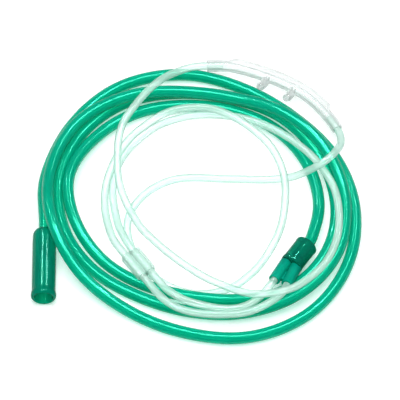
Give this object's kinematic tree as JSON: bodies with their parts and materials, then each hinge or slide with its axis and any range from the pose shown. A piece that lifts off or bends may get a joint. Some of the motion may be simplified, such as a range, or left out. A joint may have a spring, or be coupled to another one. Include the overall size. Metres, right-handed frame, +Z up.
{
  "type": "nasal oxygen cannula",
  "caption": "Nasal oxygen cannula: coiled green supply tube with a ribbed push-on cup, Y connector, clear head tubes, slide and a curved face piece with soft prongs.",
  "frame": {"origin": "on the supporting plane, below the middle of the box round the four moulded fittings", "axes": "+Z up from the surface the cannula lies on, +Y from the end connector's mouth towards the face piece, +X from the end connector towards the Y connector"},
  "size_m": [0.1504, 0.149, 0.0191],
  "materials": {
    "green_tubing": "glossy translucent green soft PVC tubing",
    "green_fitting": "glossy dark green moulded PVC, slightly see-through",
    "clear_tubing": "glossy clear soft PVC tubing with a faint green tint",
    "clear_fitting": "glossy clear soft moulded PVC"
  },
  "bodies": {
    "root": {"supply_tube": "green_tubing", "end_connector": "green_fitting", "y_connector": "green_fitting", "left_head_tube": "clear_tubing", "right_head_tube": "clear_tubing", "nasal_prong_piece": "clear_fitting"},
    "slide": {"slide": "clear_fitting"}
  },
  "joints": [
    {"name": "slide_travel", "type": "slide", "parent": "root", "child": "slide", "axis": [-0.585, 0.811, 0], "range_m": [-0.004, 0.004]}
  ]
}
